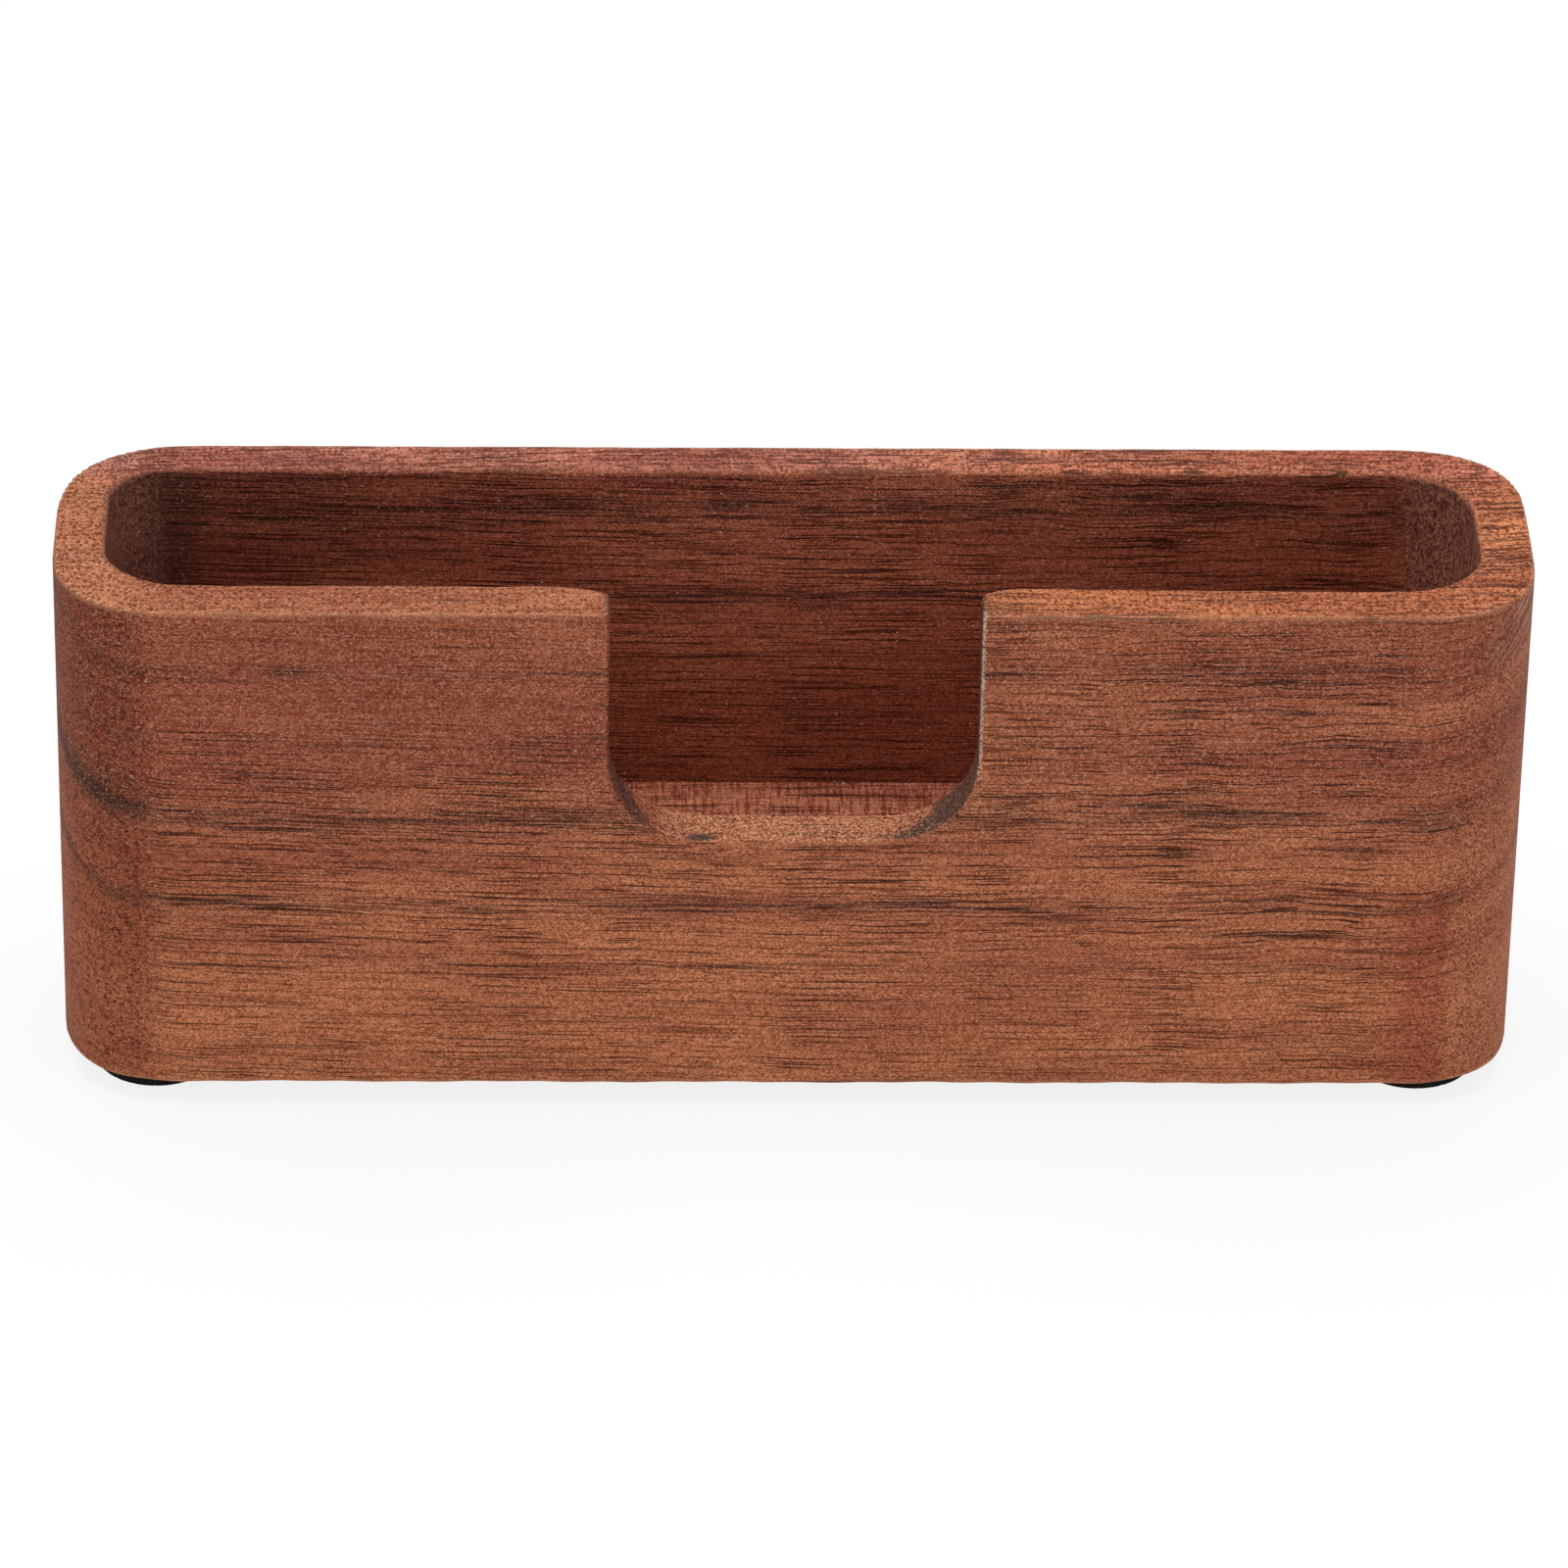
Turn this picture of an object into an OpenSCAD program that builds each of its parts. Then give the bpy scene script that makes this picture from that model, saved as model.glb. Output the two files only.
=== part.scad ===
// Desk box for business cards, in millimetres.
// One hardwood block is hollowed from above, so that a stack of cards stands in it on edge.
// A rounded notch in the front wall shows the first card and lets a thumb lift it out.
// Four round foam pads keep the block off the desk, each held by a disc of adhesive film.
// X runs from left to right, the front faces -Y, and Z is counted up from the desk.

/* [Pocket] */
// Length of the pocket, for a 90 mm card with play at both ends
pocket_l = 95; // [92:0.5:110]
// Width of the pocket from front to back, which sets how many cards it holds
pocket_w = 15.8; // [15:0.2:40]
// Depth of the pocket below the rim
pocket_depth = 25.5; // [20:0.5:40]
// Radius of the pocket's upright corners, left by the milling cutter
pocket_r = 5.6; // [2:0.1:7]
// Rounding of the pocket's mouth
mouth_round = 0.7; // [0.2:0.1:1.5]

/* [Block] */
// Thickness of each end wall
end_wall = 3.5; // [2.5:0.1:8]
// Thickness of the front wall
front_wall = 4.1; // [2.5:0.1:8]
// Thickness of the back wall
back_wall = 3.6; // [2.5:0.1:8]
// Thickness of the wood under the pocket
floor_t = 12.5; // [4:0.5:20]
// Radius of the block's upright corners
corner_r = 7.5; // [3:0.1:11]
// Rounding of the rim's outer edge
rim_round = 0.3; // [0.1:0.1:1.5]
// Rounding of the edge round the underside
base_round = 0.4; // [0.1:0.1:1.5]

/* [Notch] */
// Width of the thumb notch in the front wall
notch_w = 25.5; // [16:0.5:60]
// Depth of the notch below the rim
notch_drop = 18; // [10:0.5:19]
// Radius of the notch's lower corners
notch_r = 6.5; // [1:0.1:7.5]
// Rounding of the notch's edge on the front face
notch_edge = 0.3; // [0.1:0.1:1]
// How far the sanded edge on the pocket side reaches into the wall
lead_depth = 0.8; // [0.2:0.1:1.5]
// Radius of the sanded edge on the pocket side
lead_r = 4; // [2:0.1:6]

/* [Pads] */
// Diameter of a foam pad and of its adhesive disc
pad_d = 8.8; // [6:0.1:10]
// Thickness of the foam
pad_t = 1.5; // [1:0.1:4]
// Rounding of the foam's lower edge
pad_round = 0.2; // [0.1:0.05:0.5]
// Thickness of the adhesive film
film_t = 0.2; // [0.1:0.05:0.4]
// Distance of a pad's centre from the two nearest faces of the block
pad_inset = 6.5; // [5.5:0.1:6.5]

/* [Hidden] */
$fn = 96;
// How far a cutter runs past the face that it opens
overcut = 1;

block_l = pocket_l + 2 * end_wall;
block_w = front_wall + pocket_w + back_wall;
block_h = floor_t + pocket_depth;
block_z = pad_t + film_t;
pocket_y = (front_wall - back_wall) / 2;
front_y = -block_w / 2;
// The notch's outline carries on above the rim, where its upper corners don't cut
notch_h = notch_drop + overcut + notch_r;
lead_l = sqrt(2 * lead_r * lead_depth - pow(lead_depth, 2));

// Each corner that has a pad: its name and the signs of its x and y
CORNERS = [
    ["front_left", -1, -1],
    ["front_right", 1, -1],
    ["back_left", -1, 1],
    ["back_right", 1, 1],
];

// What a rounding takes off a square corner that lies at the origin, towards -x and -y
module rounding_waste(r) {
    translate([-r, -r])
        difference() {
            square(r + overcut);
            circle(r);
        }
}

// Carries a half profile round a rounded rectangle and fills the middle to the given height.
// The profile's x is counted outwards from the corner centres, and its y is the height.
module round_plan(l, w, r, low, high) {
    for (i = [0:3]) {
        half = i % 2 == 0 ? [l / 2 - r, w / 2 - r] : [w / 2 - r, l / 2 - r];
        rotate(90 * i)
            translate([half[0], half[1], 0]) {
                rotate_extrude(angle = 90) children();
                rotate([90, 0, 0]) linear_extrude(2 * half[1]) children();
            }
    }
    translate([r - l / 2, r - w / 2, low]) cube([l - 2 * r, w - 2 * r, high - low]);
}

// Section of the block's outer wall, with the rim's and the underside's edges rounded
module wall_profile() {
    difference() {
        square([corner_r, block_h]);
        translate([corner_r, block_h]) rounding_waste(rim_round);
        translate([corner_r, 0]) mirror([0, 1]) rounding_waste(base_round);
    }
}

// Section of the pocket, counted up from its floor and flared at the mouth
module pocket_profile() {
    square([pocket_r, pocket_depth + overcut]);
    translate([pocket_r, pocket_depth]) mirror([1, 0]) rounding_waste(mouth_round);
}

// Section through the notch's side, counted from the pocket's wall towards the front face
module notch_profile() {
    translate([0, -overcut]) square([notch_r, front_wall + 2 * overcut]);
    translate([notch_r, front_wall]) mirror([1, 0]) rounding_waste(notch_edge);
    difference() {
        translate([0, -overcut]) square([notch_r + lead_l, overcut + lead_depth]);
        translate([notch_r + lead_l, lead_r]) circle(lead_r);
    }
}

module pocket_cutter() {
    translate([0, pocket_y, floor_t])
        round_plan(pocket_l, pocket_w, pocket_r, 0, pocket_depth + overcut) pocket_profile();
}

module notch_cutter() {
    translate([0, front_y + front_wall, block_h - notch_drop + notch_h / 2])
        rotate([90, 0, 0])
            round_plan(notch_w, notch_h, notch_r, -overcut, front_wall + overcut) notch_profile();
}

// The hollowed hardwood block, with its pocket and thumb notch
module block() {
    color("sienna")
        translate([0, 0, block_z])
            difference() {
                round_plan(block_l, block_w, corner_r, 0, block_h) wall_profile();
                pocket_cutter();
                notch_cutter();
            }
}

// Puts a pad's pieces under their corner of the block
module at_corner(c) {
    translate([c[1] * (block_l / 2 - pad_inset), c[2] * (block_w / 2 - pad_inset), 0]) children();
}

// A round foam pad, with the edge that meets the desk rounded
module pad() {
    color("dimgray")
        rotate_extrude()
            difference() {
                square([pad_d / 2, pad_t]);
                translate([pad_d / 2, 0]) mirror([0, 1]) rounding_waste(pad_round);
            }
}

// The film that holds a pad to the underside of the block
module adhesive() {
    color("wheat") translate([0, 0, pad_t]) cylinder(d = pad_d, h = film_t);
}

block();
for (c = CORNERS) {
    at_corner(c) pad();
    at_corner(c) adhesive();
}
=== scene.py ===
import math

import bpy
import numpy as np
from mathutils import Matrix, Vector, noise


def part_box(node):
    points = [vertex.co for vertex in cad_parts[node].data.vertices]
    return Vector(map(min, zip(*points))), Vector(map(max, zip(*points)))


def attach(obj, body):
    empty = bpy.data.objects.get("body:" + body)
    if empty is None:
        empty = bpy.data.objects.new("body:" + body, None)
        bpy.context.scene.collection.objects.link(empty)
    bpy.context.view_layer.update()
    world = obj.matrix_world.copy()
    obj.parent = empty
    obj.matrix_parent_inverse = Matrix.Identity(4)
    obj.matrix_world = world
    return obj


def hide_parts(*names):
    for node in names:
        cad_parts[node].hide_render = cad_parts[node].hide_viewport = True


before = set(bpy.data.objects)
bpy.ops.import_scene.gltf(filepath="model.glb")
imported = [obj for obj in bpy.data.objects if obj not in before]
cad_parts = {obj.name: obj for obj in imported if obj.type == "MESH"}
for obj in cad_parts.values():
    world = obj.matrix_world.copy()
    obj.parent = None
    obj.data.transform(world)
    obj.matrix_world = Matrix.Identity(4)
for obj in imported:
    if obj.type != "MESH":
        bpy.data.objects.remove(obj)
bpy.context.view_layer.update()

# Sizes are in millimetres, and MM turns them into the frame's metres.
MM = 0.001

# Camera, as fitted to the outline, rim, notch and pads in the photograph
IMAGE_PX = 1600
FOCAL_PX = 9309
SENSOR = 36.0
EYE = (-16.65, -550.63, 350.01)
YAW = 1.70
PITCH = 30.98
ROLL = 1.05

# Block: the outside comes from the frame, and these are the walls and edges inside it
END_WALL = 3.5
FRONT_WALL = 4.1
BACK_WALL = 3.45
FLOOR_T = 12.5
# Radius of each upright corner, outside and in the pocket, by the signs of its x and y
CORNER_R = {(-1, -1): 9.0, (1, -1): 8.1, (-1, 1): 10.2, (1, 1): 8.5}
POCKET_R = {(-1, -1): 5.6, (1, -1): 5.6, (-1, 1): 4.2, (1, 1): 5.6}
# How squarely the outer corners turn: 2 is a circle, and more runs into the sides without a break
CORNER_POWER = 2.5
# How far the back and the two ends swell, and how far the right end is sanded back at its corners
BACK_SWELL = 0.28
LEFT_SWELL = 0.05
RIGHT_SWELL = 0.3
RIGHT_SANDED = 0.15
# How far the pocket's front wall is sanded hollow, where and over what length
HOLLOW = 0.3
HOLLOW_X = 36.0
HOLLOW_REACH = 16.0
# Rounding of the edges at the rim, the base, the pocket's mouth and its floor
RIM_ROUND = 0.12
BASE_ROUND = 0.4
MOUTH_ROUND_FRONT = 0.3
MOUTH_ROUND_BACK = 0.4
FLOOR_FILLET = 0.1
# Thumb notch: width, depth below the rim, radius of its lower corners, and rounding of its edges
NOTCH_W = 25.5
NOTCH_DROP = 18.0
NOTCH_R = 6.5
NOTCH_ROUND_FRONT = 0.2
NOTCH_ROUND_BACK = 0.4
# Length along the wall of the hand-sanded edge beside the notch, on the left and right, and its depth
LEAD_LEFT = 4.2
LEAD_RIGHT = 2.8
LEAD_DEPTH = 1.0
# How far below the notch's sill that edge starts, with what share of its depth, and where it is full
LEAD_BELOW = 1.0
LEAD_START = 0.2
LEAD_RISE = 5.0
# How much the hand sanding varies the rounding of the edges, and over what length
SANDING_SHARE = 0.35
SANDING_WAVE = 7.0

# Grid of the block's mesh: spacing at an edge, its growth with distance, and the widest spacing
GRID_FINE = 0.13
GRID_GROWTH = 0.2
GRID_COARSE = 1.3
# Room that the grid leaves around the block, and how often its vertices are drawn onto the surface
GRID_MARGIN = 1.0
GRID_SETTLES = 6
# Least squared slope by which a vertex's step is divided
GRID_STEEP = 0.25

# How near to the pocket or the notch the surface counts as cut by it
CUT_REACH = 0.5
# How sharply an edge bends, as one over its radius, before it shows its pale line of painted highlight and
# wear, and where that line is full
DULL = 0.7
SHARP = 2.4
# Share of that painted highlight and wear which the pocket's mouth shows
MOUTH_HIGHLIGHT_AND_WEAR = 0.25

# Foam pads: how far the side is drawn in, and the rounding of the lower edge
PAD_WAIST = 0.06
PAD_EDGE = 0.2
# Size of the foam's open cells, the depth of their pits, and how much narrower a pit is than its cell
PAD_CELL = 0.32
PAD_PIT = 0.07
PAD_PIT_NARROW = 2.2
# Steps round a pad, and along its top, its side, its lower edge and its underside
PAD_SEGMENTS = 220
PAD_TOP_STEPS = 6
PAD_SIDE_STEPS = 12
PAD_EDGE_STEPS = 5
PAD_BASE_STEPS = 30

block_low, block_high = (np.array(corner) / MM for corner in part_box("block"))
HALF_L = (block_high[0] - block_low[0]) / 2
HALF_W = (block_high[1] - block_low[1]) / 2
BASE_Z = block_low[2]
RIM_Z = block_high[2]
FLOOR_Z = BASE_Z + FLOOR_T
NOTCH_Z = RIM_Z - NOTCH_DROP
POCKET_HALF_L = HALF_L - END_WALL
POCKET_FRONT = -HALF_W + FRONT_WALL
POCKET_BACK = HALF_W + BACK_SWELL - BACK_WALL
POCKET_HALF_W = (POCKET_BACK - POCKET_FRONT) / 2
POCKET_Y = (POCKET_BACK + POCKET_FRONT) / 2


# Colours

def srgb(red, green, blue):
    """A colour given as it shows on a screen, from 0 to 255, as Blender's linear RGBA."""
    def linear(value):
        share = value / 255
        return share / 12.92 if share <= 0.04045 else ((share + 0.055) / 1.055) ** 2.4
    return (linear(red), linear(green), linear(blue), 1.0)


class Shader:
    """One material's node tree, with a short call for each kind of node that the patterns use."""

    def __init__(self, name):
        self.material = bpy.data.materials.new(name)
        self.material.use_nodes = True
        self.tree = self.material.node_tree
        self.surface = self.tree.nodes["Principled BSDF"]

    def fill(self, socket, value):
        """Links a socket to another one's value, or sets it to a plain value."""
        if isinstance(value, bpy.types.NodeSocket):
            self.tree.links.new(value, socket)
        elif value is not None:
            socket.default_value = value

    def add(self, kind, *inputs, **settings):
        """Adds a node and fills its inputs in order, where None leaves one as it is."""
        node = self.tree.nodes.new("ShaderNode" + kind)
        for key, value in settings.items():
            setattr(node, key, value)
        for socket, value in zip(node.inputs, inputs):
            self.fill(socket, value)
        return node

    def math(self, operation, *values, clamp=False):
        return self.add("Math", *values, operation=operation, use_clamp=clamp).outputs[0]

    def scaled(self, value, factor, start, clamp=False):
        """A value times a factor, added to a start."""
        return self.math("MULTIPLY_ADD", value, factor, start, clamp=clamp)

    def rest(self, share):
        """What a share leaves of 1."""
        return self.math("SUBTRACT", 1.0, share)

    def vector(self, operation, *values):
        return self.add("VectorMath", *values, operation=operation).outputs[0]

    def combine(self, x, y, z):
        return self.add("CombineXYZ", x, y, z).outputs[0]

    def ease(self, value, low, high):
        """0 at low and 1 at high, with a smooth step between them."""
        return self.add("MapRange", value, low, high, interpolation_type="SMOOTHSTEP").outputs[0]

    def blend(self, share, first, second):
        """One value that turns into another as the share grows from 0 to 1."""
        return self.scaled(share, self.math("SUBTRACT", second, first), first)

    def both(self, *shares):
        """The product of several shares."""
        total = shares[0]
        for share in shares[1:]:
            total = self.math("MULTIPLY", total, share)
        return total

    def away(self, place, centre, reach, lift=0.0):
        """The distance from a centre in x and y, as a share of the reach, with a lift at right angles."""
        scale = (1 / reach[0], 1 / reach[1], 0.0)
        shift = (-centre[0] / reach[0], -centre[1] / reach[1], lift)
        offset = self.vector("MULTIPLY_ADD", place, scale, shift)
        return self.add("VectorMath", offset, operation="LENGTH").outputs["Value"]

    def attribute(self, name):
        """A value that the mesh holds at each of its vertices."""
        return self.add("Attribute", attribute_name=name).outputs["Fac"]

    def noise(self, place, scale, detail=2.0, roughness=0.5, flat=False):
        """Smooth noise, where the scale says how many swings a millimetre holds on each axis."""
        vector = self.vector("MULTIPLY", place, scale)
        kind = "2D" if flat else "3D"
        node = self.add("TexNoise", vector, None, 1.0, detail, roughness, noise_dimensions=kind)
        return node.outputs["Fac"]

    def sway(self, place, scale, reach):
        """A slow swing of up to reach to either side."""
        swing = self.noise(place, scale)
        return self.scaled(swing, 2 * reach, -reach)

    def cells(self, place, room, flat=False):
        """The distance to the nearest of many points, one to each room, and that point's random share."""
        vector = self.vector("DIVIDE", place, room)
        kind = "2D" if flat else "3D"
        node = self.add("TexVoronoi", vector, None, 1.0, voronoi_dimensions=kind)
        return node.outputs["Distance"], self.add("SeparateColor", node.outputs["Color"]).outputs[0]

    def mix(self, share, first, second, blend="MIX"):
        """One colour mixed into another by a share."""
        node = self.add("Mix", share, data_type="RGBA", blend_type=blend)
        self.fill(node.inputs[6], first)
        self.fill(node.inputs[7], second)
        return node.outputs[2]

    def millimetres(self):
        """Position in the shared frame, in millimetres, and its three parts."""
        place = self.add("TexCoord").outputs["Object"]
        place = self.vector("MULTIPLY", place, (1 / MM,) * 3)
        return place, self.add("SeparateXYZ", place).outputs

    def bump(self, height, depth):
        """Gives the surface a fine relief, as deep as depth says in millimetres."""
        node = self.add("Bump")
        node.inputs["Distance"].default_value = depth * MM
        self.fill(node.inputs["Height"], height)
        self.fill(self.surface.inputs["Normal"], node.outputs[0])


# Hardwood

# Colours of the wood, its pores and its scorched and pale places, and of the pale line along its edges; the
# scorch colour also paints shade in the pocket, the pale colour also paints highlights and glints, and the
# edges' line is painted highlight with some wear
WOOD_ORANGE = srgb(193, 117, 79)
WOOD_RED = srgb(153, 81, 57)
WOOD_DARK = srgb(74, 46, 42)
WOOD_PORE = srgb(58, 22, 12)
# Pale colour of dust and scratches, also used for painted highlights and glints
WOOD_PALE = srgb(238, 208, 188)
SILL_PALE = srgb(226, 160, 119)
# Dark colour of the notch's scorches, also used for painted shade in the pocket
WOOD_CHAR_AND_SHADE = srgb(50, 42, 41)
# Pale line along sharp edges: painted highlight, with some wear
WOOD_HIGHLIGHT_AND_WEAR = srgb(226, 168, 130)
WOOD_TICK = srgb(92, 38, 20)
WOOD_FLECK = srgb(200, 142, 98)
# Tints of the ends, the rim, the cut surfaces and the right corner, which multiply the wood's colour; the
# ends' tints paint shade as well as the duller end grain, and the right corner's tint is painted shade
POCKET_WALL_TINT = (0.82, 0.70, 0.78, 1.0)
FLOOR_TINT = (1.0, 1.04, 1.25, 1.0)
PASS_TINT = (0.62, 0.36, 0.34, 1.0)
LEFT_END_GRAIN_AND_SHADE_TINT = (0.68, 0.59, 0.56, 1.0)
RIGHT_END_GRAIN_AND_SHADE_TINT = (0.85, 0.83, 0.85, 1.0)
POCKET_END_TINT = (0.86, 1.16, 1.6, 1.0)
RIM_TINT = (0.98, 1.1, 1.04, 1.0)
RIGHT_RIM_TINT = (1.14, 1.03, 0.87, 1.0)
END_RIM_TINT = (1.14, 1.2, 1.3, 1.0)
LEFT_RIM_TINT = (1.12, 1.2, 1.1, 1.0)
BACK_RIM_TINT = (1.03, 0.99, 1.4, 1.0)
SILL_TINT = (0.70, 0.68, 0.70, 1.0)
# Painted shade beside the right corner
CORNER_SHADE_TINT = (0.79, 0.63, 0.65, 1.0)

# How strongly light and dark fibres and grit differ in red, in green and in blue
SHADE_POWERS = (0.68, 1.0, 1.2)

# How far the layers of growth climb for each millimetre towards the back
LAYER_RISE = 0.65
# How far the fibres of the left half dip for each millimetre to the right
FIBRE_DIP = 0.03
# Sway of the layers, and curl and ripple of the fibres: swings in a millimetre on each axis, and reach
SWAY_SCALE = (0.03, 0.08, 0.08)
SWAY_REACH = 0.5
CURL_SCALE = (0.16, 0.12, 0.12)
CURL_REACH = 0.5
RIPPLE_SCALE = (0.5, 0.3, 0.3)
RIPPLE_REACH = 0.1

# Scales of the noise in the wood: patches, fibres, breaks in the rings, tone and crowds of pores
PATCH_SCALE = (1.2, 1.2, 1.2)
FIBRE_SCALE = (0.09, 6.2, 1.0)
BREAK_SCALE = (0.07, 1.0, 1.0)
TONE_SCALE = (0.04, 0.25, 1.0)
CROWD_SCALE = (0.05, 0.5, 1.0)
# Scales of the noise on its surface: the relief, the pocket's flecks, the cutter's passes and the scratches
RELIEF_SCALE = (0.3, 5.0, 5.0)
FLECK_SCALE = (3.5, 3.5, 2.2)
PASS_SCALE = (3.5, 0.25, 0.15)
SCRATCH_SCALE = (2.5, 0.25, 1.0)
# Room for one grain of grit, one dot on the ends, one tick on the rim and one dash on its back
GRIT_ROOM = (0.11, 0.09, 0.09)
DOT_ROOM = (0.6, 0.4, 0.4)
TICK_ROOM = (0.4, 0.6, 1.0)
DASH_ROOM = (2.0, 0.7, 1.0)

# Each pair below gives the places where a look begins and where it is full
# The right half's look and curled fibres, redder wood with height, and more orange wood high on the right
MIDDLE_X = (-10.0, 10.0)
CURL_X = (0.0, 40.0)
RED_LAYERS = (6.0, 30.0)
ORANGE_LAYERS = (10.0, 18.0)
# Painted shade, darker and redder, low on the front where it turns into the right corner
CORNER_SHADE_X = (40.5, 44.0)
CORNER_SHADE_END_X = (46.4, 45.4)
CORNER_SHADE_LAYERS = (18.0, 13.0)
# Wood with few pores, high on the left and low on the front
SMOOTH_X = (5.0, -20.0)
SMOOTH_LAYERS = (24.0, 30.0)
LOW_LAYERS = (13.0, 9.0)
# The parts of the rim that have tints of their own
RIGHT_RIM_X = (5.0, 20.0)
LEFT_RIM_X = (-43.0, -47.0)
END_RIM_X = (44.0, 47.0)
BACK_RIM_Y = (6.0, 9.0)
# The rim's left end and right half with more ticks, and its right end with dashes
TICK_LEFT_X = (-38.0, -44.0)
TICK_RIGHT_X = (0.0, 25.0)
DASH_X = (30.0, 46.0)
# The pocket's walls with painted shade towards the floor, the painted shade on its left part and left back
# corner, and the passes on its floor
SHADED_Z = (FLOOR_Z, FLOOR_Z + 16.0)
POCKET_SHADE_X = (-28.0, -40.0)
POCKET_SHADE_CORNER_X = (-40.5, -42.5)
POCKET_SHADE_CORNER_END_X = (-46.0, -44.0)
POCKET_SHADE_CORNER_Y = (0.0, 4.0)
PASS_Y = (1.0, 5.0)
# The notch's scorched front and the painted highlight on its right arris
SCORCH_Y = (2.5 - HALF_W, 0.5 - HALF_W)
ARRIS_HIGHLIGHT_Y = (1.0 - HALF_W, 0.5 - HALF_W)
ARRIS_HIGHLIGHT_Z = (NOTCH_Z + 4.0, NOTCH_Z + 7.0)
# The upper front with its pale haze of dust and painted glints, and the scratched right corner
HAZE_AND_GLINT_LAYERS = (14.0, 27.0)
SCRATCH_X = (46.5, 48.5)
SCRATCH_Y = (-5.0, -7.0)
SCRATCH_Z = (RIM_Z - 7.0, RIM_Z - 2.0)

# Dark smudge at the left end: place along the block and height above its base, and its reach in both
SMUDGE_PLACE = (-48.0, 22.6)
SMUDGE_REACH = (5.5, 2.8)

# Shares of the painted highlight and wear along the edges, of the scratches and of the dust, outside the
# pocket and in it
HIGHLIGHT_AND_WEAR_SHARE = 0.25
SCRATCH_SHARE = 0.25
DUST_SHARE = 0.45
POCKET_DUST_SHARE = 0.75

# Oiled finish: lowest roughness, what grit adds to it, specular level and depth of the relief
WOOD_ROUGHNESS = 0.6
GRIT_ROUGHNESS = 0.2
WOOD_SPECULAR = 0.1
RELIEF_DEPTH = 0.05

# Dark rings of growth: height above the base on the front face, half thickness, strength
RINGS = [
    (-10.5, 0.8, 0.5),
    (-3.0, 0.6, 0.5),
    (9.7, 0.4, 0.35),
    (14.7, 0.9, 0.6),
    (21.8, 1.2, 0.6),
    (28.0, 0.7, 0.3),
    (33.3, 1.0, 0.35),
]

# Dark marks on the front face: place along it, height above its base, half length, half height, strength
STREAKS = [
    (-42.8, 22.3, 5.5, 0.3, 1.0),
    (-31.1, 21.6, 5.0, 0.25, 1.0),
    (-34.3, 24.4, 3.0, 0.2, 0.9),
    (-22.0, 20.6, 5.0, 0.5, 0.6),
    (-28.7, 17.8, 3.5, 0.5, 0.7),
    (-43.0, 15.2, 3.5, 0.4, 1.0),
    (-39.0, 14.9, 4.0, 0.8, 0.8),
    (-21.3, 14.4, 4.0, 0.6, 0.8),
    (-40.8, 9.8, 2.6, 0.18, 0.9),
    (-30.0, 9.7, 5.0, 0.15, 0.7),
    (-20.3, 9.1, 4.0, 0.13, 0.6),
    (-29.0, 29.2, 4.0, 0.5, 0.5),
    (-28.4, 27.3, 5.0, 0.2, 0.7),
    (-33.0, 21.0, 14.0, 0.8, 0.6),
    (16.5, 23.6, 4.5, 0.4, 1.05),
    (24.0, 23.0, 5.5, 0.35, 1.1),
    (27.9, 23.9, 7.5, 0.2, 0.7),
    (29.5, 22.3, 5.0, 0.5, 1.15),
    (36.5, 21.5, 5.0, 0.35, 1.1),
    (44.0, 21.0, 4.0, 0.4, 1.05),
    (20.8, 37.2, 2.0, 0.3, 0.5),
    (24.0, 34.2, 2.5, 0.5, 0.5),
    (35.3, 32.8, 5.0, 0.8, 0.6),
    (41.1, 34.8, 3.0, 0.4, 0.6),
    (34.0, 30.4, 3.5, 0.3, 0.7),
    (41.6, 27.6, 3.0, 0.7, 0.6),
    (38.0, 19.5, 2.5, 0.4, 0.7),
    (18.6, 13.7, 5.0, 0.6, 0.6),
    (33.5, 12.4, 7.0, 0.4, 0.6),
    (31.3, 4.3, 4.0, 0.3, 0.3),
]

# Kinds of pore: the room that one takes along and across the grain, and the share of places that hold one
PORES = (
    (22.0, 0.32, 0.60),
    (12.0, 0.28, 0.55),
    (6.5, 0.26, 0.45),
)

# Small scorches on the notch's sill: place along the block and half length, place and half width across it
SCORCHES = ((-6.4, 1.2), (8.2, 1.5))
SCORCH_ACROSS = 0.5 - HALF_W
SCORCH_WIDTH = 0.6


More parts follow.
